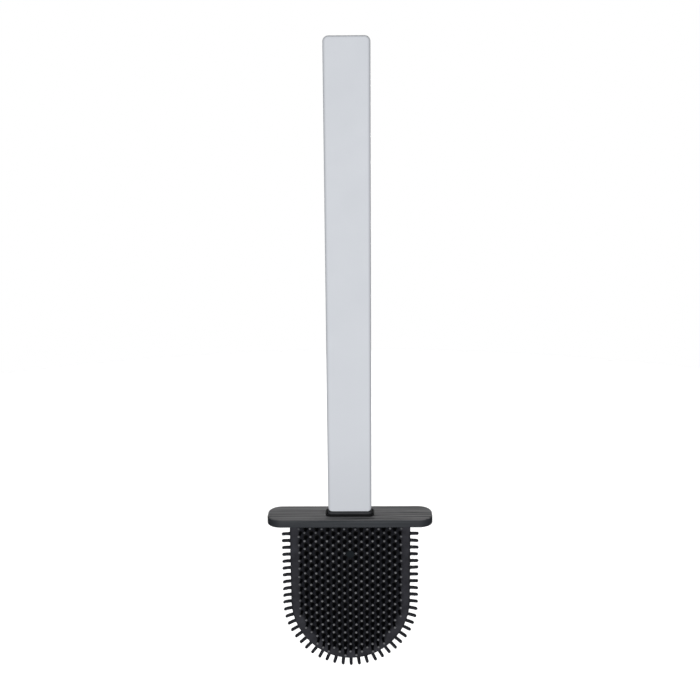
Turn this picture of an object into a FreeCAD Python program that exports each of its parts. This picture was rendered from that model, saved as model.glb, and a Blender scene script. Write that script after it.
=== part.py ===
import FreeCAD, Part
import math
import os

from FreeCAD import Vector

# A flat toilet brush: a slim light-grey handle that plugs into a dark lid, and under the lid a soft
# bristled head on a stiff core. Millimetres. +Z runs up the handle, +X across its width, and the front
# face looks along -Y. The origin is the middle of the seat, the plane on which the lid rests on the
# rim of a holder, so the head hangs below z = 0 and the handle stands above it.

# ---------------------------------------------------------------- driving dimensions

GAP = 0.05                 # assembly gap between pieces of one body
RUN = 0.15                 # clearance on each side of the foot, which pulls out of the head

HANDLE_WIDTH = 27.0
HANDLE_THICK = 9.5
HANDLE_LOW = 7.6           # height of the handle's lower end
HANDLE_HIGH = 293.4
HANDLE_CORNER_R = 2.5      # lower corners of the handle seen from the front
HANDLE_TOP_R = 3.3         # its upper corners
HANDLE_EDGE_R = 1.7        # long edges and both ends

SHELL_WALL = 1.4
COVER_MARGIN = 1.9         # from the handle's outline to the back cover's
COVER_CORNER_R = 1.5
LEDGE = 1.3                # the shoulder in the front shell that carries the cover
RIB_THICK = 1.2
RIB_LOW = 30.0             # height at which the long ribs inside the shell start

STIFFENER_WIDTH = 14.0
STIFFENER_THICK = 1.5
STIFFENER_LOW = 14.0
STIFFENER_HIGH = 286.0

FOOT_WIDTH = 27.6
FOOT_THICK = 9.6
FOOT_CORNER_R = 2.2
FOOT_LOW = 3.25
PLUG_HIGH = 26.0           # top of the foot's plug inside the handle
TONGUE_WIDTH = 16.0
TONGUE_THICK = 3.0
TONGUE_LOW = -17.0
TONGUE_LEAD = 0.7          # chamfer that leads the tongue into its socket

LID_WIDTH = 103.4
LID_DEPTH = 23.5
LID_HIGH = 5.0
LID_CORNER_R = 8.8
LID_TOP_R = 1.1
LID_BOTTOM_R = 0.5
LID_PLATE = 2.0            # thickness of the lid's top plate
LID_WALL = 1.25            # its rim stays outside the face bristles' reach

SEAL_WALL = 0.65
SEAL_LIP = 0.6             # how far the bead covers the lid around the slot
SEAL_HIGH = 6.0
SEAL_ROUND = 0.5

FLANGE_WIDTH = 84.0        # the core's flange, welded under the lid
FLANGE_DEPTH = 16.0
FLANGE_CORNER_R = 6.0
HEAD_HIGH = 0.5            # underside of the flange, where the soft sleeve starts
CORE_THICK = 3.0
CORE_INSET = 4.0           # from the sleeve's outline to the core's
NECK_WIDTH = 20.0
NECK_THICK = 5.6
NECK_LOW = -24.5
SOCKET_SPARE = 1.0         # room under the tongue

HEAD_HALF_WIDTH = 38.1
HEAD_STRAIGHT_LOW = -55.0  # the sides are straight down to here, then half an ellipse closes the head
HEAD_END_DEPTH = 40.2      # the half ellipse's depth
SLEEVE_HALF = 3.7          # half the sleeve's thickness on its centre line
CROWN_DROP = 1.4           # how much thinner each face is at the side edges
SLEEVE_EDGE_R = 1.3

COLUMN_PITCH = 3.57        # bristle columns, across
ROW_PITCH = 2.73           # bristle rows, down; every other place is empty
ROW_ZERO = -42.7
COLUMNS = 9                # to each side of the centre column
ROWS_UP, ROWS_DOWN = 15, 17
FIELD_MARGIN = 5.3         # least distance from a bristle's axis to the head's outline
BRISTLE_LENGTH = 6.7
BRISTLE_R = 0.9
BRISTLE_ROOT = 0.6         # how far a bristle is sunk into the sleeve

PEG_ROW = -8               # the place in the centre column that the core's peg takes
PEG_R = 2.5
PEG_PROUD = 1.2

EDGE_COUNT = 47
EDGE_HIGH = -9.0           # height of the first and the last bristle along the edge
EDGE_LENGTH = 5.3
EDGE_EXTRA = 1.3           # the ones at the lower end are longer
EDGE_R = 1.0

CROWN_R = HEAD_HALF_WIDTH ** 2 / (2 * CROWN_DROP)


# ---------------------------------------------------------------- shape helpers

def slab(width, depth, low, high, corner_r=0.0):
    """An upright block centred on the axis, with its four upright edges rounded."""
    block = Part.makeBox(width, depth, high - low, Vector(-width / 2, -depth / 2, low))
    if corner_r:
        upright = [e for e in block.Edges if abs(e.tangentAt(e.FirstParameter).z) > 0.9]
        block = block.makeFillet(corner_r, upright)
    return block


def panel(width, low, high, front, back, lower_r, upper_r):
    """A block seen from the front as a rounded rectangle, from y = front to y = back."""
    block = Part.makeBox(width, back - front, high - low, Vector(-width / 2, front, low))
    for level, corner_r in ((low, lower_r), (high, upper_r)):
        through = [e for e in edges_at(block, "z", level)
                   if abs(e.tangentAt(e.FirstParameter).y) > 0.9]
        block = block.makeFillet(corner_r, through)
    return block


def edges_at(shape, axis, value):
    """The edges of a shape that lie in the plane axis = value."""
    def within(edge):
        box = edge.BoundBox
        low, high = {"y": (box.YMin, box.YMax), "z": (box.ZMin, box.ZMax)}[axis]
        return abs(low - value) < 1e-3 and abs(high - value) < 1e-3
    return [e for e in shape.Edges if within(e)]


def bristle(length, radius, point, out):
    """One bristle: a round rod sunk into the sleeve at a point and standing out along a direction."""
    return Part.makeCylinder(radius, length + BRISTLE_ROOT, point - out * BRISTLE_ROOT, out)


# ---------------------------------------------------------------- handle

CAVITY_FRONT = -HANDLE_THICK / 2 + SHELL_WALL
COVER_FRONT = HANDLE_THICK / 2 - SHELL_WALL
COVER_WIDTH = HANDLE_WIDTH - 2 * COVER_MARGIN
CAVITY_WIDTH = COVER_WIDTH - 2 * LEDGE
CAVITY_HIGH = HANDLE_HIGH - COVER_MARGIN - LEDGE


def handle_bar():
    """The handle's outer form: a flat bar, rounded at its corners and along every edge."""
    half = HANDLE_THICK / 2
    bar = panel(HANDLE_WIDTH, HANDLE_LOW, HANDLE_HIGH, -half, half, HANDLE_CORNER_R, HANDLE_TOP_R)
    return bar.makeFillet(HANDLE_EDGE_R, edges_at(bar, "y", -half) + edges_at(bar, "y", half))


def handle_front_shell():
    """The face and sides of the handle, with two long ribs that hold the stiffener's edges."""
    half = HANDLE_THICK / 2
    recess = panel(COVER_WIDTH, HANDLE_LOW + COVER_MARGIN, HANDLE_HIGH - COVER_MARGIN,
                   COVER_FRONT - GAP, half + 1, COVER_CORNER_R, COVER_CORNER_R)
    cavity = Part.makeBox(CAVITY_WIDTH, COVER_FRONT - CAVITY_FRONT, CAVITY_HIGH - HANDLE_LOW + 1,
                          Vector(-CAVITY_WIDTH / 2, CAVITY_FRONT, HANDLE_LOW - 1))
    shell = handle_bar().cut(recess).cut(cavity)
    rib_height = COVER_FRONT - CAVITY_FRONT - 2 * GAP
    for side in (-1, 1):
        middle = side * (STIFFENER_WIDTH / 2 + RUN + RIB_THICK / 2)
        rib = Part.makeBox(RIB_THICK, rib_height + 0.5, CAVITY_HIGH + 0.5 - RIB_LOW,
                           Vector(middle - RIB_THICK / 2, CAVITY_FRONT - 0.5, RIB_LOW))
        shell = shell.fuse(rib)
    return shell.removeSplitter()


def handle_back_cover():
    """The flat cover let into the handle's back, with a rib that presses the stiffener home."""
    cover = panel(COVER_WIDTH - 2 * GAP, HANDLE_LOW + COVER_MARGIN + GAP,
                  HANDLE_HIGH - COVER_MARGIN - GAP, COVER_FRONT, HANDLE_THICK / 2,
                  COVER_CORNER_R, COVER_CORNER_R)
    front = CAVITY_FRONT + STIFFENER_THICK + 2 * GAP
    rib = Part.makeBox(RIB_THICK, COVER_FRONT - front + 0.5, STIFFENER_HIGH - RIB_LOW,
                       Vector(-RIB_THICK / 2, front, RIB_LOW))
    return cover.fuse(rib).removeSplitter()


def handle_stiffener():
    """A steel strip against the shell's face, with its lower end in the foot's plug."""
    return Part.makeBox(STIFFENER_WIDTH, STIFFENER_THICK, STIFFENER_HIGH - STIFFENER_LOW,
                        Vector(-STIFFENER_WIDTH / 2, CAVITY_FRONT + GAP, STIFFENER_LOW))


def handle_foot():
    """The dark plug that closes the handle, with the tongue that pushes into the head's core."""
    block = slab(FOOT_WIDTH, FOOT_THICK, FOOT_LOW, HANDLE_LOW - GAP, FOOT_CORNER_R)
    plug = Part.makeBox(CAVITY_WIDTH - 2 * GAP, COVER_FRONT - CAVITY_FRONT - 3 * GAP,
                        PLUG_HIGH - HANDLE_LOW + 1,
                        Vector(-CAVITY_WIDTH / 2 + GAP, CAVITY_FRONT + GAP, HANDLE_LOW - 1))
    slot = Part.makeBox(STIFFENER_WIDTH + 2 * GAP, STIFFENER_THICK + 1 + GAP,
                        PLUG_HIGH - STIFFENER_LOW + 1 + GAP,
                        Vector(-STIFFENER_WIDTH / 2 - GAP, CAVITY_FRONT - 1 + GAP,
                               STIFFENER_LOW - GAP))
    tongue = slab(TONGUE_WIDTH, TONGUE_THICK, TONGUE_LOW, FOOT_LOW + 1)
    tongue = tongue.makeChamfer(TONGUE_LEAD, edges_at(tongue, "z", TONGUE_LOW))
    return block.fuse(plug.cut(slot)).fuse(tongue).removeSplitter()


# ---------------------------------------------------------------- lid

SEAL_BORE_WIDTH = FOOT_WIDTH + 2 * RUN
SEAL_BORE_THICK = FOOT_THICK + 2 * RUN


def seal_slab(grow, low, high):
    """A block with the plan of the seal's bore, larger by grow on every side."""
    return slab(SEAL_BORE_WIDTH + 2 * grow, SEAL_BORE_THICK + 2 * grow, low, high,
                FOOT_CORNER_R + RUN + grow)


def lid_plate():
    """The lid: a top plate with the foot's slot, and a rim whose lower face is the seat."""
    lid = slab(LID_WIDTH, LID_DEPTH, 0, LID_HIGH, LID_CORNER_R)
    lid = lid.makeFillet(LID_TOP_R, edges_at(lid, "z", LID_HIGH))
    lid = lid.makeFillet(LID_BOTTOM_R, edges_at(lid, "z", 0))
    hollow = slab(LID_WIDTH - 2 * LID_WALL, LID_DEPTH - 2 * LID_WALL, -1, LID_HIGH - LID_PLATE,
                  LID_CORNER_R - LID_WALL)
    return lid.cut(hollow).cut(seal_slab(SEAL_WALL + GAP, 0, LID_HIGH + 1))


def slot_seal():
    """The rubber grommet in the lid's slot, with a low round bead on the lid."""
    stem = seal_slab(SEAL_WALL, LID_HIGH - LID_PLATE + GAP, LID_HIGH + 2 * GAP)
    bead = seal_slab(SEAL_WALL + SEAL_LIP, LID_HIGH + GAP, SEAL_HIGH)
    bead = bead.makeFillet(SEAL_ROUND, edges_at(bead, "z", SEAL_HIGH))
    return stem.fuse(bead).removeSplitter().cut(seal_slab(0, 0, SEAL_HIGH + 1))


# ---------------------------------------------------------------- head

def head_outline(inset=0.0, high=HEAD_HIGH):
    """The head from the front as a closed wire at y = 0: straight sides and half an ellipse."""
    half, depth = HEAD_HALF_WIDTH - inset, HEAD_END_DEPTH - inset
    centre = Vector(0, 0, HEAD_STRAIGHT_LOW)
    right, lowest = centre + Vector(half, 0, 0), centre - Vector(0, 0, depth)
    ellipse = Part.Ellipse(lowest, right, centre)
    left = centre - Vector(half, 0, 0)
    ends = sorted(ellipse.parameter(p) for p in (left, right))
    arc = Part.ArcOfEllipse(ellipse, ends[0], ends[1]).toShape()
    if arc.BoundBox.ZMax > HEAD_STRAIGHT_LOW + 1:
        arc = Part.ArcOfEllipse(ellipse, ends[1], ends[0] + 2 * math.pi).toShape()
    upper_left, upper_right = Vector(-half, 0, high), Vector(half, 0, high)
    return Part.Wire(Part.__sortEdges__([
        Part.makeLine(upper_left, left), arc, Part.makeLine(right, upper_right),
        Part.makeLine(upper_right, upper_left)]))


def head_plate(inset, thick, high=HEAD_HIGH):
    """A flat plate with the head's outline, centred on y = 0."""
    face = Part.Face(head_outline(inset, high))
    face.translate(Vector(0, -thick / 2, 0))
    return face.extrude(Vector(0, thick, 0))


def surface_half(x):
    """Half the sleeve's thickness at a distance x from its centre line."""
    return SLEEVE_HALF - (CROWN_R - math.sqrt(CROWN_R ** 2 - x ** 2))


def place(column, row):
    """Where a bristle of the faces' staggered field stands, as x and z."""
    return COLUMN_PITCH * column, ROW_ZERO - ROW_PITCH * row


def core_body(grow=0.0):
    """The core under its flange: a thin plate, a thicker neck around the socket, and the peg."""
    plate = head_plate(CORE_INSET - grow, CORE_THICK + 2 * grow)
    neck = Part.makeBox(NECK_WIDTH + 2 * grow, NECK_THICK + 2 * grow, HEAD_HIGH - NECK_LOW + grow,
                        Vector(-NECK_WIDTH / 2 - grow, -NECK_THICK / 2 - grow, NECK_LOW - grow))
    reach = SLEEVE_HALF + PEG_PROUD
    x, z = place(0, PEG_ROW)
    peg = Part.makeCylinder(PEG_R + grow, 2 * reach, Vector(x, -reach, z), Vector(0, 1, 0))
    return plate.fuse(neck).fuse(peg).removeSplitter()


def head_core():
    """The stiff core: flange under the lid, socket for the tongue, plate inside the sleeve."""
    flange = slab(FLANGE_WIDTH, FLANGE_DEPTH, HEAD_HIGH, LID_HIGH - LID_PLATE - GAP,
                  FLANGE_CORNER_R)
    socket = slab(TONGUE_WIDTH + 2 * RUN, TONGUE_THICK + 2 * RUN, TONGUE_LOW - SOCKET_SPARE,
                  LID_HIGH)
    return core_body().fuse(flange).removeSplitter().cut(socket)


def sleeve_body():
    """The sleeve without bristles: crowned faces, a rounded edge, and room for the core."""
    body = head_plate(0, 3 * SLEEVE_HALF, HEAD_HIGH - GAP)
    low, height = HEAD_STRAIGHT_LOW - HEAD_END_DEPTH - 1, HEAD_END_DEPTH - HEAD_STRAIGHT_LOW + 4
    for side in (-1, 1):
        crown = Part.makeCylinder(CROWN_R, height,
                                  Vector(0, side * (CROWN_R - SLEEVE_HALF), low))
        body = body.common(crown)
    rim = [e for e in body.Edges
           if e.BoundBox.ZMin < HEAD_HIGH - 1 and abs(e.BoundBox.YMin + e.BoundBox.YMax) > 1]
    body = body.makeFillet(SLEEVE_EDGE_R, rim)
    return body.cut(core_body(GAP))


def inside_margin(x, z):
    """The distance from a point of the head to its outline, near enough for the field's edge."""
    below = z - HEAD_STRAIGHT_LOW
    if below >= 0:
        return HEAD_HALF_WIDTH - abs(x)
    size = math.hypot(x / HEAD_HALF_WIDTH, below / HEAD_END_DEPTH)
    return (1 - size) * math.hypot(x, below) / size


def field_places():
    """The staggered places of one face's bristles."""
    for row in range(-ROWS_UP, ROWS_DOWN + 1):
        for column in range(-COLUMNS, COLUMNS + 1):
            x, z = place(column, row)
            taken = column == 0 and row == PEG_ROW
            if (column + row) % 2 == 0 and not taken and inside_margin(x, z) >= FIELD_MARGIN:
                yield x, z


def face_bristles():
    """The bristles of the front and the back face."""
    return [bristle(BRISTLE_LENGTH, BRISTLE_R, Vector(x, side * surface_half(x), z),
                    Vector(0, side, 0))
            for side in (-1, 1) for x, z in field_places()]


def edge_normal(point):
    """The outward direction of the head's outline at one of its points."""
    below = min(point.z - HEAD_STRAIGHT_LOW, 0)
    normal = Vector(point.x / HEAD_HALF_WIDTH ** 2, 0, below / HEAD_END_DEPTH ** 2)
    return normal.normalize()


def edge_bristles():
    """The single row of bristles around the head's edge, evenly spaced along it."""
    sides = [e for e in head_outline(0, EDGE_HIGH).Edges if e.BoundBox.ZMin < EDGE_HIGH - 1]
    around = Part.Wire(Part.__sortEdges__(sides))
    bristles = []
    for point in around.discretize(Number=EDGE_COUNT):
        out = edge_normal(point)
        bristles.append(bristle(EDGE_LENGTH + EDGE_EXTRA * abs(out.z), EDGE_R, point, out))
    return bristles


def brush_sleeve():
    """The soft sleeve moulded over the core, in one piece with all of its bristles."""
    return sleeve_body().multiFuse(face_bristles() + edge_bristles())


PIECES = (handle_front_shell, handle_back_cover, handle_stiffener, handle_foot,
          lid_plate, slot_seal, head_core, brush_sleeve)

os.makedirs("parts", exist_ok=True)
for piece in PIECES:
    shape = piece()
    shape.exportStep(f"parts/{piece.__name__}.step")
    box = shape.BoundBox
    print(f"{piece.__name__}: {len(shape.Solids)} solid, valid {shape.isValid()}, "
          f"{len(shape.Faces)} faces, {shape.Volume / 1000:.2f} cm3, "
          f"z {box.ZMin:.2f} to {box.ZMax:.2f}")
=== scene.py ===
import math

import bmesh
import bpy
import numpy as np
from mathutils import Euler, Matrix, Vector, kdtree

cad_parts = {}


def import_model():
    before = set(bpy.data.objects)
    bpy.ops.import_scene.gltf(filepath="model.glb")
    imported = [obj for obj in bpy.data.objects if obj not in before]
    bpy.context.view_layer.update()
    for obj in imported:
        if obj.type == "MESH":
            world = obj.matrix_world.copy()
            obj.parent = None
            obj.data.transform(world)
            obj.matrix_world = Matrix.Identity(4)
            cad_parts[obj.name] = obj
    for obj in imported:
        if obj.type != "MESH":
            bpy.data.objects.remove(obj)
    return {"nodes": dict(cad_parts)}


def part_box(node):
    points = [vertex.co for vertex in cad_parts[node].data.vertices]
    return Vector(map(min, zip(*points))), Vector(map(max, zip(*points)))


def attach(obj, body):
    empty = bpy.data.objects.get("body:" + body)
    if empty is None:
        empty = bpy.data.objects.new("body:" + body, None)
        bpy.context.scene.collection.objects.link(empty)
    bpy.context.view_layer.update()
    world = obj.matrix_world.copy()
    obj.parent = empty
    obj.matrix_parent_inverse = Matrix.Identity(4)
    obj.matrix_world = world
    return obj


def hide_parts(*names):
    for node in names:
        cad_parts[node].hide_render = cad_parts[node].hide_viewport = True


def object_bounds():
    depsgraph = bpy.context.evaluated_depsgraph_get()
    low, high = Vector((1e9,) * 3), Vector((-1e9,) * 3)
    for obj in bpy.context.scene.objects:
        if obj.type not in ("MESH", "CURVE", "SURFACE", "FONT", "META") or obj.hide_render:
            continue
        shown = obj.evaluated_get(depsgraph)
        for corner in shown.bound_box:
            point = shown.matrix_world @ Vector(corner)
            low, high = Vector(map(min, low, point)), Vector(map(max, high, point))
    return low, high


# The visible model of a flat toilet brush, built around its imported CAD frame. Metres, +Z up along the
# handle, the front face looks along -Y, and z = 0 is the plane on which the lid rests.

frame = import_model()
cad_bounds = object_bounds()

MM = 0.001
SEED = 7


# ---------------------------------------------------------------- meshes

def mesh_object(name, vertices, faces, smooth_below=40.0):
    """A mesh object with outward normals; edges sharper than smooth_below degrees stay sharp."""
    mesh = bpy.data.meshes.new(name)
    mesh.from_pydata([tuple(v) for v in vertices], [], [tuple(f) for f in faces])
    work = bmesh.new()
    work.from_mesh(mesh)
    bmesh.ops.remove_doubles(work, verts=work.verts, dist=1e-7)
    bmesh.ops.recalc_face_normals(work, faces=work.faces)
    work.to_mesh(mesh)
    work.free()
    mesh.polygons.foreach_set("use_smooth", [True] * len(mesh.polygons))
    mesh.set_sharp_from_angle(angle=math.radians(smooth_below))
    piece = bpy.data.objects.new(name, mesh)
    bpy.context.scene.collection.objects.link(piece)
    return piece


def rounded_rectangle(half_u, half_v, radius, steps=10, upper=None):
    """The points of a rounded rectangle in the plane, anticlockwise, the same number for any size.
    upper is the radius of its two upper corners where that differs."""
    points = []
    for corner, (su, sv) in enumerate(((1, 1), (-1, 1), (-1, -1), (1, -1))):
        r = upper if upper and sv > 0 else radius
        for step in range(steps + 1):
            angle = math.radians(90 * corner + 90 * step / steps)
            points.append((su * (half_u - r) + r * math.cos(angle),
                           sv * (half_v - r) + r * math.sin(angle)))
    return np.array(points)


def plan_loop(half_x, half_y, radius, z, steps=10):
    """A rounded rectangle seen from above, at a height."""
    flat = rounded_rectangle(half_x, half_y, radius, steps)
    return np.column_stack([flat, np.full(len(flat), z)])


def front_loop(half_x, low, high, radius, y, upper=None):
    """A rounded rectangle seen from the front, at a depth."""
    flat = rounded_rectangle(half_x, (high - low) / 2, radius, upper=upper)
    return np.column_stack([flat[:, 0], np.full(len(flat), y), flat[:, 1] + (low + high) / 2])


def loft(name, loops, ring=False):
    """A surface through loops of equal length. A ring joins its last loop to its first; otherwise
    both ends are closed."""
    count, size = len(loops), len(loops[0])
    faces = []
    for i in range(count if ring else count - 1):
        a, b = i * size, (i + 1) % count * size
        faces += [(a + k, a + (k + 1) % size, b + (k + 1) % size, b + k) for k in range(size)]
    if not ring:
        faces += [tuple(range(size))[::-1], tuple(range((count - 1) * size, count * size))]
    return mesh_object(name, np.vstack(loops), faces)


def round_over(radius, steps=8):
    """(inset, drop) pairs round a quarter circle, from the flat face to the side."""
    angles = [math.pi / 2 * step / steps for step in range(steps + 1)]
    return [(radius * (1 - math.sin(a)), radius * (1 - math.cos(a))) for a in angles]


def cut_box(piece, low, high):
    """Removes a box from a piece."""
    corners = [(x, y, z) for x in (low[0], high[0]) for y in (low[1], high[1])
               for z in (low[2], high[2])]
    sides = [(0, 1, 3, 2), (4, 6, 7, 5), (0, 4, 5, 1), (2, 3, 7, 6), (0, 2, 6, 4), (1, 5, 7, 3)]
    tool = mesh_object("cutter", corners, sides)
    cut = piece.modifiers.new("cut", "BOOLEAN")
    cut.operation, cut.solver, cut.object = "DIFFERENCE", "EXACT", tool
    made = bpy.data.meshes.new_from_object(piece.evaluated_get(
        bpy.context.evaluated_depsgraph_get()))
    piece.modifiers.clear()
    piece.data = made
    bpy.data.objects.remove(tool)
    return piece


# ---------------------------------------------------------------- materials

class Nodes:
    """A material's node tree with short ways to add and join nodes."""

    def __init__(self, name, color, roughness, specular=0.5, metallic=0.0):
        self.material = bpy.data.materials.new(name)
        self.material.use_nodes = True
        self.tree = self.material.node_tree
        self.shader = self.tree.nodes["Principled BSDF"]
        self.shader.inputs["Base Color"].default_value = (*color, 1)
        self.shader.inputs["Roughness"].default_value = roughness
        self.shader.inputs["Specular IOR Level"].default_value = specular
        self.shader.inputs["Metallic"].default_value = metallic
        self.place = self.add("ShaderNodeTexCoord").outputs["Object"]

    def add(self, kind, **settings):
        """A new node with some of its properties set."""
        node = self.tree.nodes.new(kind)
        for key, value in settings.items():
            setattr(node, key, value)
        return node

    def join(self, output, socket):
        self.tree.links.new(output, socket)

    def noise(self, per_metre, detail=3.0, rough=0.55, stretch=(1, 1, 1)):
        """Noise with a number of features per metre, drawn out along an axis by stretch."""
        mapping = self.add("ShaderNodeMapping")
        mapping.inputs["Scale"].default_value = [1 / s for s in stretch]
        self.join(self.place, mapping.inputs["Vector"])
        noise = self.add("ShaderNodeTexNoise")
        noise.inputs["Scale"].default_value = per_metre
        noise.inputs["Detail"].default_value = detail
        noise.inputs["Roughness"].default_value = rough
        self.join(mapping.outputs["Vector"], noise.inputs["Vector"])
        return noise.outputs["Fac"]

    def ranged(self, value, low, high, start=0.3, end=0.7):
        """A value from start to end mapped to the range from low to high."""
        node = self.add("ShaderNodeMapRange")
        for key, number in (("From Min", start), ("From Max", end), ("To Min", low), ("To Max", high)):
            node.inputs[key].default_value = number
        self.join(value, node.inputs["Value"])
        return node.outputs["Result"]

    def blend(self, factor, first, second):
        """A colour between two, by a factor."""
        node = self.add("ShaderNodeMix", data_type="RGBA")
        for socket, color in ((node.inputs[6], first), (node.inputs[7], second)):
            if isinstance(color, tuple):
                socket.default_value = (*color, 1)
            else:
                self.join(color, socket)
        self.join(factor, node.inputs[0])
        return node.outputs[2]

    def paint(self, color):
        self.join(color, self.shader.inputs["Base Color"])

    def roughen(self, value):
        self.join(value, self.shader.inputs["Roughness"])

    def bump(self, height, distance, strength=1.0):
        """Adds relief: distance is its depth in metres where the height goes from 0 to 1."""
        node = self.add("ShaderNodeBump")
        node.inputs["Distance"].default_value = distance
        node.inputs["Strength"].default_value = strength
        self.join(height, node.inputs["Height"])
        before = self.shader.inputs["Normal"]
        if before.is_linked:
            self.join(before.links[0].from_socket, node.inputs["Normal"])
        self.join(node.outputs["Normal"], before)


def scaled(color, factor):
    """A colour made lighter or darker."""
    return tuple(channel * factor for channel in color)


def handle_plastic():
    """Light cool-grey satin plastic with a fine moulded grain, and painted shade that darkens it a
    little towards the foot.
    """
    base = (0.655, 0.68, 0.725)
    m = Nodes("handle_plastic", base, 0.42, specular=0.15)
    cloud = m.ranged(m.noise(9, 2, stretch=(1, 1, 5)), 0, 1)
    clean = m.blend(cloud, scaled(base, 0.985), scaled(base, 1.015))
    height = m.add("ShaderNodeSeparateXYZ")
    m.join(m.place, height.inputs["Vector"])
    # painted shade near the lid: the colour darkens from 55 mm above the lid down to 5 mm
    painted_shade_near_foot = m.ranged(height.outputs["Z"], 1, 0, start=5 * MM, end=55 * MM)
    m.paint(m.blend(painted_shade_near_foot, clean, scaled(base, 0.91)))
    m.roughen(m.ranged(m.noise(60, 4), 0.38, 0.46))
    m.bump(m.noise(2600, 2), 0.000012)
    return m.material


def foot_plastic():
    """Dark grey satin plastic."""
    base = (0.038, 0.039, 0.043)
    m = Nodes("foot_plastic", base, 0.6, specular=0.12)
    m.paint(m.blend(m.ranged(m.noise(120, 3), 0, 1), scaled(base, 0.8), scaled(base, 1.2)))
    m.roughen(m.ranged(m.noise(300, 3), 0.55, 0.67))
    m.bump(m.noise(2400, 2), 0.000015)
    return m.material


def lid_plastic():
    """Charcoal plastic. Its top face gets a paler colour as painted light from above, with a grain drawn
    out along the lid.
    """
    # top is the paler colour of the painted light on the lid's upward faces
    base, top = (0.0275, 0.0305, 0.0355), (0.11, 0.11, 0.113)
    m = Nodes("lid_plastic", base, 0.5, specular=0.15)
    streak = m.noise(900, 4, 0.6, stretch=(45, 1, 1))
    broad = m.noise(60, 3, 0.6, stretch=(5, 1, 1))
    upward = m.add("ShaderNodeSeparateXYZ")
    m.join(m.add("ShaderNodeNewGeometry").outputs["Normal"], upward.inputs["Vector"])
    # painted light: faces turned upwards, and the upper part of the rounded edges, take the paler top
    # colour
    lighter = m.ranged(upward.outputs["Z"], 0, 1, start=0.45, end=0.9)
    mottled = m.blend(m.ranged(broad, 0, 1), scaled(base, 0.85), scaled(base, 1.15))
    grain_on_painted_top_light = m.blend(m.ranged(streak, 0, 1), scaled(top, 0.3), scaled(top, 1.7))
    m.paint(m.blend(lighter, mottled, grain_on_painted_top_light))
    m.roughen(m.ranged(streak, 0.65, 0.4))
    m.bump(streak, 0.00007)
    m.bump(m.noise(2400, 2), 0.00001)
    return m.material


def black_rubber(name, base, roughness, specular):
    """Black elastomer with a soft, slightly uneven surface."""
    m = Nodes(name, base, roughness, specular)
    m.paint(m.blend(m.ranged(m.noise(150, 4), 0, 1), scaled(base, 0.7), scaled(base, 1.35)))
    m.roughen(m.ranged(m.noise(500, 3), roughness - 0.06, roughness + 0.08))
    m.bump(m.noise(1800, 3), 0.00002)
    return m


def seal_rubber():
    """Near-black matt rubber."""
    return black_rubber("seal_rubber", (0.008, 0.0082, 0.0092), 0.75, specular=0.2).material


def brush_rubber():
    """The sleeve's elastomer: satin round the rim, with painted shade making it darker where the
    bristles stand.
    """
    m = black_rubber("brush_rubber", (0.029, 0.0292, 0.0348), 0.6, specular=0.04)
    field = m.add("ShaderNodeAttribute", attribute_name="field").outputs["Fac"]
    under = m.shader.inputs["Base Color"].links[0].from_socket
    # the field attribute paints shade on the skin between the bristles
    m.paint(m.blend(field, under, (0.0085, 0.0089, 0.0122)))
    return m.material


def bristle_rubber():
    """The same elastomer on the bristles: deep black at their roots from painted shade, and pale tips
    that are partly rubbed and partly a painted highlight.
    """
    m = black_rubber("bristle_rubber", (0.014, 0.0148, 0.0195), 0.55, specular=0.15)
    worn_and_highlit = m.add("ShaderNodeAttribute", attribute_name="tip_wear_and_highlight").outputs["Fac"]
    under = m.shader.inputs["Base Color"].links[0].from_socket
    painted_root_shade = m.add("ShaderNodeAttribute", attribute_name="painted_root_shade").outputs["Fac"]
    # painted shade at the roots: the shafts go near-black towards the sleeve
    shaft = m.blend(painted_root_shade, under, (0.0015, 0.0015, 0.0018))
    # pale tips: partly rubbed, partly a painted highlight
    m.paint(m.blend(worn_and_highlit, shaft, (0.175, 0.177, 0.186)))
    return m.material


def core_plastic():
    """Black moulded plastic of the core, seen on its peg."""
    base = (0.0095, 0.012, 0.0145)
    m = Nodes("core_plastic", base, 0.6, specular=0.03)
    m.paint(m.blend(m.ranged(m.noise(200, 3), 0, 1), scaled(base, 0.8), scaled(base, 1.25)))
    m.roughen(m.ranged(m.noise(400, 3), 0.55, 0.7))
    m.bump(m.noise(2000, 2), 0.00002)
    return m.material


def stiffener_steel():
    """Rolled steel strip, with its grain along the handle."""
    base = (0.5, 0.5, 0.51)
    m = Nodes("stiffener_steel", base, 0.35, metallic=1.0)
    grain = m.noise(2500, 3, stretch=(1, 1, 40))
    m.paint(m.blend(m.ranged(grain, 0, 1), scaled(base, 0.9), scaled(base, 1.08)))
    m.roughen(m.ranged(grain, 0.28, 0.44))
    m.bump(grain, 0.00001)
    return m.material


def floor_paper():
    """Matt white paper."""
    base = (0.9, 0.9, 0.9)
    m = Nodes("floor_paper", base, 0.9, specular=0.1)
    m.paint(m.blend(m.ranged(m.noise(8, 3), 0, 1), scaled(base, 0.995), base))
    m.bump(m.noise(900, 3), 0.00002)
    return m.material


MATERIALS = {make.__name__: make() for make in (
    handle_plastic, foot_plastic, lid_plastic, seal_rubber, brush_rubber, bristle_rubber,
    core_plastic, stiffener_steel)}


def dress(piece, slot, body, *nodes, material=None):
    """Gives a piece the material of its slot, lets it ride on a body, and hides the CAD nodes it stands
    for.
    """
    piece.data.materials.clear()
    piece.data.materials.append(MATERIALS[material or slot])
    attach(piece, body)
    if nodes:
        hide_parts(*nodes)
    return piece


def redress(node, slot):
    """A CAD node keeps its shape and gets a better material."""
    piece = frame["nodes"][node]
    piece.data.materials.clear()
    piece.data.materials.append(MATERIALS[slot])


# ---------------------------------------------------------------- handle

shell_low, shell_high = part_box("handle_front_shell")
cover_low, cover_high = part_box("handle_back_cover")
foot_low, foot_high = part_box("handle_foot")

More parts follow.
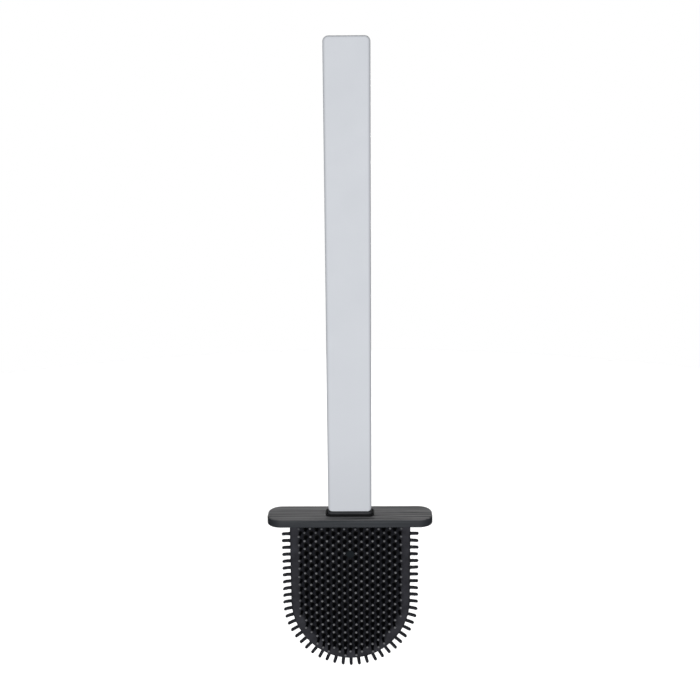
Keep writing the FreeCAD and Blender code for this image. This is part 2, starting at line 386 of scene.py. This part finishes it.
HANDLE_CORNER_R = 2.5 * MM
HANDLE_TOP_R = 3.3 * MM    # the upper corners
HANDLE_EDGE_R = 1.7 * MM
CRISP_FOOT = 0.45          # share of that rounding's width at the handle's lower end
CRISP_TOP = 0.65           # and at its upper end
COVER_CORNER_R = 1.5 * MM
LEAST_R = 0.3 * MM         # no corner of a loop is tighter
SHELL_WALL = 1.4 * MM
LEDGE = 1.3 * MM           # the shoulder in the shell that carries the cover
SEAM = 0.05 * MM           # between pieces of one body
COVER_SEAM = 0.16 * MM     # the visible line round the back cover
EDGE_BREAK = 0.12 * MM     # a small chamfer on edges that are otherwise sharp
FOOT_CORNER_R = 2.2 * MM
SUPPORT = 0.5 * MM         # an extra loop this far inside a flat face keeps its shading flat


def handle_loop(inset, y):
    """The handle's outline from the front, drawn in by inset at its sides and by less at its ends, at
    a depth."""
    return front_loop(shell_high.x - inset, shell_low.z + CRISP_FOOT * inset,
                      shell_high.z - CRISP_TOP * inset, max(HANDLE_CORNER_R - inset, LEAST_R), y,
                      upper=max(HANDLE_TOP_R - inset, LEAST_R))


def handle_front_shell():
    """The handle's face and sides, as a tray that is open at the back under the cover."""
    front, back = shell_low.y, shell_high.y
    margin = shell_high.x - cover_high.x - SEAM
    ledge_y = cover_low.y

    def recess_loop(inset, y):
        return front_loop(shell_high.x - inset, shell_low.z + inset, shell_high.z - inset,
                          max(COVER_CORNER_R + margin - inset, LEAST_R), y)

    for_cover = [
        (margin - EDGE_BREAK, back), (margin, back - EDGE_BREAK), (margin, ledge_y),
        (margin + LEDGE, ledge_y), (margin + LEDGE, front + SHELL_WALL),
        (margin + LEDGE + SUPPORT, front + SHELL_WALL)]
    rounded = round_over(HANDLE_EDGE_R)
    loops = [handle_loop(HANDLE_EDGE_R + SUPPORT, front)]
    loops += [handle_loop(inset, front + drop) for inset, drop in rounded]
    loops += [handle_loop(inset, back - drop) for inset, drop in reversed(rounded)]
    loops += [recess_loop(inset, y) for inset, y in for_cover]
    shell = loft("handle_front_shell_skin", loops)
    opening = shell_high.x - margin - LEDGE
    cut_box(shell, (-opening, front + SHELL_WALL, shell_low.z - MM),
            (opening, ledge_y, shell_low.z + margin + LEDGE + MM))
    return dress(shell, "handle_plastic", "handle", "handle_front_shell")


def handle_back_cover():
    """The flat cover let into the handle's back."""
    def loop(inset, y):
        inset += COVER_SEAM
        return front_loop(cover_high.x - inset, cover_low.z + inset, cover_high.z - inset,
                          COVER_CORNER_R, y)

    front, back = shell_high.y - SHELL_WALL, cover_high.y
    loops = [loop(SUPPORT, front), loop(0, front), loop(0, back - EDGE_BREAK),
             loop(EDGE_BREAK, back), loop(EDGE_BREAK + SUPPORT, back)]
    return dress(loft("handle_back_cover_skin", loops), "handle_plastic", "handle",
                 "handle_back_cover")


def handle_foot():
    """The dark foot: tongue, shouldered block and the plug inside the handle, cut to fit round the
    stiffener."""
    tongue_x, tongue_y, tongue_r, tip_r = 8.0 * MM, 1.5 * MM, 0.35 * MM, 0.2 * MM
    block_x, block_y, block_r = foot_high.x, foot_high.y, FOOT_CORNER_R
    play = 0.13 * MM
    plug_x, plug_y, plug_r = 10.25 * MM, shell_high.y - SHELL_WALL - play, 0.3 * MM
    lead, edge, shoulder, neck = 0.7 * MM, 0.35 * MM, 3.25 * MM, shell_low.z - SEAM
    rounded = round_over(edge, 5)
    loops = [plan_loop(tongue_x - lead, tongue_y - lead, tip_r, foot_low.z),
             plan_loop(tongue_x, tongue_y, tongue_r, foot_low.z + lead),
             plan_loop(tongue_x, tongue_y, tongue_r, shoulder),
             plan_loop(block_x - edge - SUPPORT, block_y - edge - SUPPORT, block_r - edge, shoulder)]
    loops += [plan_loop(block_x - i, block_y - i, block_r - i, shoulder + d) for i, d in rounded]
    loops += [plan_loop(block_x - i, block_y - i, block_r - i, neck - d)
              for i, d in reversed(rounded)]
    loops += [plan_loop(block_x - edge - SUPPORT, block_y - edge - SUPPORT, block_r - edge, neck),
              plan_loop(plug_x, plug_y, plug_r, neck),
              plan_loop(plug_x, plug_y, plug_r, foot_high.z)]
    foot = loft("handle_foot_skin", loops)
    strip_low, strip_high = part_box("handle_stiffener")
    cut_box(foot, (strip_low.x - SEAM, -block_y, strip_low.z - SEAM),
            (strip_high.x + SEAM, strip_high.y + SEAM, foot_high.z + MM))
    return dress(foot, "foot_plastic", "handle", "handle_foot")


# ---------------------------------------------------------------- lid

lid_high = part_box("lid_plate")[1]
seal_low, seal_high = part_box("slot_seal")

RUN = 0.15 * MM            # clearance round the foot
SEAL_BORE = (foot_high.x + RUN, foot_high.y + RUN, FOOT_CORNER_R + RUN)
SEAL_STEM = 0.65 * MM      # thickness of the seal in the lid's slot
LID_CORNER_R = 8.8 * MM
LID_TOP_R = 1.1 * MM
LID_BOTTOM_R = 0.5 * MM
LID_PLATE = 2.0 * MM       # thickness of the lid's top
LID_WALL = 1.25 * MM       # and of its rim


def bore_loop(grow, z):
    """The outline of the seal's bore from above, larger by grow."""
    return plan_loop(*(size + grow for size in SEAL_BORE), z, steps=16)


def lid_loop(inset, z):
    """The lid's outline from above, drawn in by inset."""
    return plan_loop(lid_high.x - inset, lid_high.y - inset, LID_CORNER_R - inset, z, steps=16)


def lid_plate():
    """The lid: its top, sides and seat, the hollow under it and the slot through it."""
    top, under, slot = lid_high.z, lid_high.z - LID_PLATE, SEAL_STEM + SEAM
    corner = 0.4 * MM
    loops = [bore_loop(slot, top - EDGE_BREAK), bore_loop(slot + EDGE_BREAK, top),
             bore_loop(slot + SUPPORT, top), lid_loop(LID_TOP_R + SUPPORT, top)]
    loops += [lid_loop(inset, top - drop) for inset, drop in round_over(LID_TOP_R, 10)]
    loops += [lid_loop(inset, drop) for inset, drop in reversed(round_over(LID_BOTTOM_R, 6))]
    loops += [lid_loop(LID_WALL - EDGE_BREAK, 0), lid_loop(LID_WALL, EDGE_BREAK),
              lid_loop(LID_WALL, under - corner), lid_loop(LID_WALL + corner, under),
              bore_loop(slot + SUPPORT, under), bore_loop(slot + EDGE_BREAK, under),
              bore_loop(slot, under + EDGE_BREAK)]
    return dress(loft("lid_skin", loops, ring=True), "lid_plastic", "head", "lid_plate")


def slot_seal():
    """The grommet around the foot: a stem in the slot under a round bead."""
    low, high, lid = seal_low.z, seal_high.z, lid_high.z + SEAM
    width = (seal_high.x - SEAL_BORE[0]) / 2
    steps, flattened = 8, 0.75
    loops = [bore_loop(0, low + EDGE_BREAK)]
    for step in range(steps + 1):
        angle = math.pi * step / steps
        loops.append(bore_loop(width * (1 - math.cos(angle)),
                               high - width * (1 - math.sin(angle)) * flattened))
    loops += [bore_loop(2 * width, lid), bore_loop(SEAL_STEM, lid), bore_loop(SEAL_STEM, low)]
    return dress(loft("slot_seal_skin", loops, ring=True), "seal_rubber", "head", "slot_seal")


# ---------------------------------------------------------------- head

sleeve_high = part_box("brush_sleeve")[1]

HALF_WIDTH = 38.1 * MM
STRAIGHT_LOW = -55.0 * MM  # the sides are straight down to here, then half an ellipse closes the head
END_DEPTH = 40.2 * MM      # the half ellipse's depth
HALF_THICK = 3.7 * MM      # half the sleeve's thickness on its centre line
CROWN_DROP = 1.4 * MM      # how much thinner that half is at the sides
CROWN_R = HALF_WIDTH ** 2 / (2 * CROWN_DROP)
SLEEVE_RIM_R = 1.5 * MM
NECK = (10.0 * MM, 2.8 * MM, -24.5 * MM)  # the core's neck: half its width and depth, and its lower end
PAINTED_SHADE_FROM = 5.8 * MM       # painted shade darkens the sleeve from this far inside its outline
PAINTED_SHADE_WITHIN = 1.2 * MM     # over this width

COLUMN_PITCH = 3.57 * MM
ROW_PITCH = 2.73 * MM
ROW_ZERO = -42.7 * MM
COLUMNS = 9                # bristle columns on each side of the centre one
ROWS = range(-15, 18)
PEG_ROW = -8               # the place in the centre column that the core's peg takes
FIELD_MARGIN = 5.3 * MM    # least distance from a face bristle's axis to the head's outline
FACE_LENGTH = 6.7 * MM
FACE_LENGTH_SPREAD = 0.05 * MM
FACE_R = 0.9 * MM
FACE_LEAN = 0.13 * MM
SPLAY = 0.028              # the roots stand this share nearer the middle than the tips
RIM_ROW = 6.3 * MM         # bristles nearer to the outline than this hardly flare
RIM_FLARE, FIELD_FLARE = 0.15, 0.95

WEAR_AND_HIGHLIGHT = (0.75, 1.1)         # how pale a face bristle's tip is, partly rubbed and partly a painted highlight, from least to most
OUTER_COLUMN_WEAR_AND_HIGHLIGHT = 0.75   # share of it in the outermost columns
TOP_ROWS_PAINTED_SHADOW = 0.6        # and in the two rows under the lid, dimmed there by a painted shadow of the lid
WEAR_AND_HIGHLIGHT_REACH = 1.15 * MM     # how far from the tip's end it shows
WEAR_AND_HIGHLIGHT_FADE = 0.3            # the share of that reach over which it fades
ROOT_SHADE_HIGH = 0.7 * MM       # below this painted shade starts to darken the shafts towards the sleeve
ROOT_SHADE_FADE = 0.5 * MM

EDGE_COUNT = 47
EDGE_HIGH = -9.0 * MM      # height of the first and the last bristle along the edge
EDGE_LENGTH = 5.3 * MM
EDGE_EXTRA = 1.3 * MM      # the ones at the lower end are longer
EDGE_LENGTH_SPREAD = 0.06 * MM
EDGE_R = 1.08 * MM
EDGE_LEAN = 0.15 * MM
EDGE_FLARE = 0.2
EDGE_SAGS = ((11, 0.18, 0.13), (-3, 0.75, 0.12))  # degrees, where along the row, and how widely
EDGE_SAG_SPREAD = 1.2

BRISTLE_TAPER = 0.95       # radius at the tip, as a share of the radius at the root
# Heights over the sleeve, and the share of a bristle's flare that is left at each.
BRISTLE_FOOT = ((-0.35 * MM, 1.1), (0, 1.0), (0.12 * MM, 0.5), (0.32 * MM, 0.16), (0.7 * MM, 0.0))


def surface_half(x):
    """Half the sleeve's thickness at a distance x from its centre line."""
    return HALF_THICK - (CROWN_R - np.sqrt(CROWN_R ** 2 - np.square(x)))


def outline(high, count):
    """count points evenly spaced round the head's edge, from the left at a height down, round and
    up the right side, as x and z, with their outward directions."""
    fine = 400
    straight = np.linspace(high, STRAIGHT_LOW, fine)
    turn = np.linspace(math.pi, 2 * math.pi, 5 * fine)
    x = np.concatenate([np.full(fine, -HALF_WIDTH), HALF_WIDTH * np.cos(turn),
                        np.full(fine, HALF_WIDTH)])
    z = np.concatenate([straight, STRAIGHT_LOW + END_DEPTH * np.sin(turn), straight[::-1]])
    along = np.concatenate([[0], np.cumsum(np.hypot(np.diff(x), np.diff(z)))])
    at = np.linspace(0, along[-1], count)
    x, z = np.interp(at, along, x), np.interp(at, along, z)
    below = np.minimum(z - STRAIGHT_LOW, 0)
    out = np.column_stack([x / HALF_WIDTH ** 2, below / END_DEPTH ** 2])
    return x, z, out / np.linalg.norm(out, axis=1)[:, None]


def edge_margin(x, z):
    """The distance from a point of the head to its outline, near enough for the field's edge."""
    below = min(z - STRAIGHT_LOW, 0)
    if below == 0:
        return HALF_WIDTH - abs(x)
    size = math.hypot(x / HALF_WIDTH, below / END_DEPTH)
    return (1 - size) * math.hypot(x, below) / size


def mark(piece, name, values):
    """Gives a piece a number at each of its points, for its material."""
    piece.data.attributes.new(name, "FLOAT", "POINT").data.foreach_set("value", values)


def sleeve_skin():
    """The sleeve between its bristles: two crowned faces that meet in a rounded rim. Each face is
    made of loops like the outline, from the rim to the centre line."""
    stations, rim_steps = 260, 10
    x, z, _ = outline(sleeve_high.z, stations)
    middle_z = np.maximum(z, STRAIGHT_LOW)
    to_middle = np.hypot(x, z - middle_z)
    depths = [SLEEVE_RIM_R * (1 - math.cos(math.pi / 2 * step / rim_steps))
              for step in range(rim_steps + 1)]
    depths += [depth * MM for depth in (2.2, 3.2, 4.3, 5.5, 6.1, 6.7, 8, 12, 17, 23, 30)]
    across = []
    for depth in [*depths, to_middle]:
        share = 1 - depth / to_middle
        px, pz = x * share, middle_z + (z - middle_z) * share
        to_flat = np.maximum(SLEEVE_RIM_R - depth, 0)
        half = surface_half(px) - (SLEEVE_RIM_R - np.sqrt(SLEEVE_RIM_R ** 2 - to_flat ** 2))
        across.append((px, pz, half))
    rows = [np.column_stack([px, -half, pz]) for px, pz, half in reversed(across)]
    rows += [np.column_stack([px, half, pz]) for px, pz, half in across]
    starts = [i * stations for i in range(len(rows))]
    faces = [(a + k, a + k + 1, b + k + 1, b + k)
             for a, b in zip(starts, starts[1:]) for k in range(stations - 1)]
    ends = [start + stations - 1 for start in starts]
    faces.append(tuple(starts + ends[::-1]))
    skin = mesh_object("sleeve_skin", np.vstack(rows), faces)
    neck_x, neck_y, neck_low = NECK[0] + SEAM, NECK[1] + SEAM, NECK[2] - SEAM
    cut_box(skin, (-neck_x, -neck_y, neck_low), (neck_x, neck_y, sleeve_high.z + MM))
    margins = np.array([edge_margin(v.co.x, v.co.z) for v in skin.data.vertices])
    # painted shade between the bristles, stored as the field attribute
    mark(skin, "field", np.clip((margins - PAINTED_SHADE_FROM) / PAINTED_SHADE_WITHIN, 0, 1))
    return dress(skin, "brush_rubber", "head", "brush_sleeve")


def bristle_mesh(name, roots, outs, lengths, radius, lean, flare):
    """Bristles as one mesh: each flares out of the sleeve, tapers a little, ends in a round tip, and
    is bent sideways by its lean. Lengths, leans and flares have a value for each bristle."""
    sides, tip, count = 16, radius * BRISTLE_TAPER, len(roots)
    heights = [np.full(count, height) for height, _ in BRISTLE_FOOT]
    radii = [radius * (1 + flare * share) for _, share in BRISTLE_FOOT]
    for share in (0.4, 0.7):
        heights.append(lengths * share)
        radii.append(np.full(count, radius + (tip - radius) * share))
    for angle in (math.radians(a) for a in (0, 20, 40, 60, 78, 90)):
        heights.append(lengths - tip + tip * math.sin(angle))
        radii.append(np.full(count, tip * math.cos(angle)))
    heights, radii = np.array(heights), np.array(radii)
    helper = np.where(np.abs(outs[:, 2:3]) < 0.9, [[0.0, 0.0, 1.0]], [[1.0, 0.0, 0.0]])
    side = np.cross(outs, helper)
    side /= np.linalg.norm(side, axis=1)[:, None]
    up = np.cross(side, outs)
    turn = np.arange(sides) * 2 * math.pi / sides
    bend = np.square(np.maximum(heights, 0) / lengths)
    centres = roots + outs * heights[..., None] + lean * bend[..., None]
    ring = side[:, None] * np.cos(turn)[:, None] + up[:, None] * np.sin(turn)[:, None]
    points = centres[:, :, None] + ring * radii[..., None, None]
    index = np.arange(len(radii) * count * sides).reshape(len(radii), count, sides)
    following = np.roll(index, -1, axis=2)
    quads = np.stack([index[:-1], following[:-1], following[1:], index[1:]], -1).reshape(-1, 4)
    return mesh_object(name, points.reshape(-1, 3), [*quads, *index[0]], smooth_below=60.0)


def add_wear_and_highlight(piece, tips, strength):
    """Marks how near each point is to a bristle's tip, up to that bristle's strength: the tip's rubbed
    paleness and painted highlight.
    """
    tree = kdtree.KDTree(len(tips))
    for i, point in enumerate(tips):
        tree.insert(point, i)
    tree.balance()
    values = []
    for vertex in piece.data.vertices:
        _, i, distance = tree.find(vertex.co)
        near = (WEAR_AND_HIGHLIGHT_REACH - distance) / (WEAR_AND_HIGHLIGHT_FADE * WEAR_AND_HIGHLIGHT_REACH)
        values.append(strength[i] * min(1.0, max(0.0, near)))
    mark(piece, "tip_wear_and_highlight", values)


def field_places():
    """The staggered places of a face's bristles, as x and z."""
    places = []
    for row in ROWS:
        for column in range(-COLUMNS, COLUMNS + 1):
            x, z = COLUMN_PITCH * column, ROW_ZERO - ROW_PITCH * row
            taken = column == 0 and row == PEG_ROW
            if (column + row) % 2 == 0 and not taken and edge_margin(x, z) >= FIELD_MARGIN:
                places.append((x, z))
    return np.array(places)


def face_bristles(name, side, generator):
    """The bristles of the front (side -1) or the back (side 1)."""
    places = field_places()
    x, z, count = places[:, 0], places[:, 1], len(places)
    roots = np.column_stack([x * (1 - SPLAY), side * surface_half(x), z])
    outs = np.tile([0.0, side, 0.0], (count, 1))
    lengths = FACE_LENGTH + generator.normal(0, FACE_LENGTH_SPREAD, count)
    lean = np.column_stack([generator.normal(0, FACE_LEAN, count), np.zeros(count),
                            generator.normal(0, FACE_LEAN, count)])
    lean[:, 0] += SPLAY * x
    at_rim = np.array([edge_margin(*place) for place in places]) < RIM_ROW
    flare = np.where(at_rim, RIM_FLARE, FIELD_FLARE)
    piece = bristle_mesh(name, roots, outs, lengths, FACE_R, lean, flare)
    # the tips' paleness is partly rubbing and partly a painted highlight; the rows under the lid get a
    # painted shadow of the lid
    strength = generator.uniform(*WEAR_AND_HIGHLIGHT, count)
    strength[np.abs(x) > (COLUMNS - 0.5) * COLUMN_PITCH] *= OUTER_COLUMN_WEAR_AND_HIGHLIGHT
    strength[z > ROW_ZERO - (ROWS[0] + 1.5) * ROW_PITCH] *= TOP_ROWS_PAINTED_SHADOW
    add_wear_and_highlight(piece, roots + outs * lengths[:, None] + lean, strength)
    # painted shade at the bristles' roots
    heights = np.array([side * v.co.y - surface_half(v.co.x) for v in piece.data.vertices])
    mark(piece, "painted_root_shade", np.clip((ROOT_SHADE_HIGH - heights) / ROOT_SHADE_FADE, 0, 1))
    return dress(piece, "brush_rubber", "head", material="bristle_rubber")


def edge_bristles(generator):
    """The single row round the head's edge. Those on the left hang a little."""
    x, z, out = outline(EDGE_HIGH, EDGE_COUNT)
    flat = np.zeros(EDGE_COUNT)
    outs = np.column_stack([out[:, 0], flat, out[:, 1]])
    roots = np.column_stack([x, flat, z])
    lengths = (EDGE_LENGTH + EDGE_EXTRA * np.abs(out[:, 1])
               + generator.normal(0, EDGE_LENGTH_SPREAD, EDGE_COUNT))
    along = np.linspace(0, 1, EDGE_COUNT)
    sag = sum(angle * np.exp(-((along - middle) / width) ** 2) for angle, middle, width in EDGE_SAGS)
    turn = np.radians(sag + generator.normal(0, EDGE_SAG_SPREAD, EDGE_COUNT))
    sideways = np.column_stack([-out[:, 1], flat, out[:, 0]])
    lean = sideways * (np.tan(turn) * lengths)[:, None]
    lean[:, 1] = generator.normal(0, EDGE_LEAN, EDGE_COUNT)
    flare = np.full(EDGE_COUNT, EDGE_FLARE)
    piece = bristle_mesh("edge_bristles", roots, outs, lengths, EDGE_R, lean, flare)
    return dress(piece, "brush_rubber", "head", material="bristle_rubber")


# ---------------------------------------------------------------- stage

FLOOR_RADIUS = 1.3
FLOOR_BELOW = 0.12         # how far the brush hangs above the floor


def floor():
    """A round pale floor, a little below the hanging brush. It sheds no light on the brush."""
    sides, level = 96, cad_bounds[0].z - FLOOR_BELOW
    turn = np.linspace(0, 2 * math.pi, sides, endpoint=False)
    rim = np.column_stack([np.cos(turn), np.sin(turn), np.zeros(sides)]) * FLOOR_RADIUS
    piece = mesh_object("floor", rim + [0, 0, level], [tuple(range(sides))])
    piece.data.materials.append(floor_paper())
    piece.visible_diffuse = piece.visible_glossy = piece.visible_shadow = False
    return piece


def world(seen, front, back):
    """White surroundings. seen is how bright they look to the camera, back is how much light they
    shed on the brush from behind and above, and front is how much from the front and below."""
    made = bpy.data.worlds.new("studio")
    made.use_nodes = True
    nodes, links = made.node_tree.nodes, made.node_tree.links

    def ranged(value, numbers):
        node = nodes.new("ShaderNodeMapRange")
        for key, number in zip(("From Min", "From Max", "To Min", "To Max"), numbers):
            node.inputs[key].default_value = number
        links.new(value, node.inputs["Value"])
        return node

    behind_and_above = Vector((0, 2, 1)).normalized()
    front_until, back_from = 0.35, 0.9  # along that direction, from -1 to 1
    background = nodes["Background"]
    background.inputs["Color"].default_value = (1, 1, 1, 1)
    toward = nodes.new("ShaderNodeVectorMath")
    toward.operation = "DOT_PRODUCT"
    toward.inputs[1].default_value = behind_and_above
    links.new(nodes.new("ShaderNodeTexCoord").outputs["Generated"], toward.inputs[0])
    shed = ranged(toward.outputs["Value"], (front_until, back_from, front, back))
    shed.interpolation_type = "SMOOTHSTEP"
    level = ranged(nodes.new("ShaderNodeLightPath").outputs["Is Camera Ray"], (0, 1, 0, seen))
    links.new(shed.outputs["Result"], level.inputs["To Min"])
    links.new(level.outputs["Result"], background.inputs["Strength"])
    bpy.context.scene.world = made


def softbox(name, place, target, size, power, only=None):
    """A square area light aimed at a target. With only, it lights that one object."""
    light = bpy.data.lights.new(name, "AREA")
    light.shape, light.size, light.energy = "SQUARE", size, power
    lamp = bpy.data.objects.new(name, light)
    lamp.location = place
    lamp.rotation_euler = (Vector(target) - Vector(place)).to_track_quat("-Z", "Y").to_euler()
    lamp.visible_camera = False
    bpy.context.scene.collection.objects.link(lamp)
    if only:
        lamp.light_linking.receiver_collection = bpy.data.collections.new(name)
        lamp.light_linking.receiver_collection.objects.link(only)


def camera():
    """The brush from in front, seen from nearly the height of the handle's upper end."""
    lens = bpy.data.cameras.new("camera")
    lens.sensor_width, lens.lens = 36.0, 54.5
    lens.clip_start, lens.clip_end = 0.01, 50
    tilt_down, turned_left, roll = (math.radians(a) for a in (14.3, 0.63, -0.415))
    eye = bpy.data.objects.new("camera", lens)
    eye.location = (0.0076, -0.6213, 0.2692)
    turn = Euler((math.pi / 2 - tilt_down, 0, turned_left)).to_matrix()
    eye.rotation_euler = (turn @ Matrix.Rotation(roll, 3, "Z")).to_euler()
    bpy.context.scene.collection.objects.link(eye)
    bpy.context.scene.camera = eye


# ---------------------------------------------------------------- assembly

handle_front_shell()
handle_back_cover()
handle_foot()
redress("handle_stiffener", "stiffener_steel")
lid = lid_plate()
slot_seal()
redress("head_core", "core_plastic")
sleeve_skin()
chance = np.random.default_rng(SEED)
face_bristles("front_bristles", -1, chance)
face_bristles("back_bristles", 1, chance)
edge_bristles(chance)

softbox("floor_light", place=(0, 0, 3.0), target=(0, 0, 0), size=5.0, power=190, only=floor())
softbox("lid_light", place=(0, -0.1, 2.5), target=(0, 0, 0), size=1.5, power=23, only=lid)
world(seen=1.0, front=0.05, back=0.85)
softbox("key", place=(-0.3, -5.0, -0.4), target=(0, 0, 0.1), size=2.4, power=235)
softbox("back", place=(0.3, 5.0, -0.6), target=(0, 0, 0.1), size=2.0, power=110)
camera()
bpy.context.scene.view_settings.view_transform = "Standard"
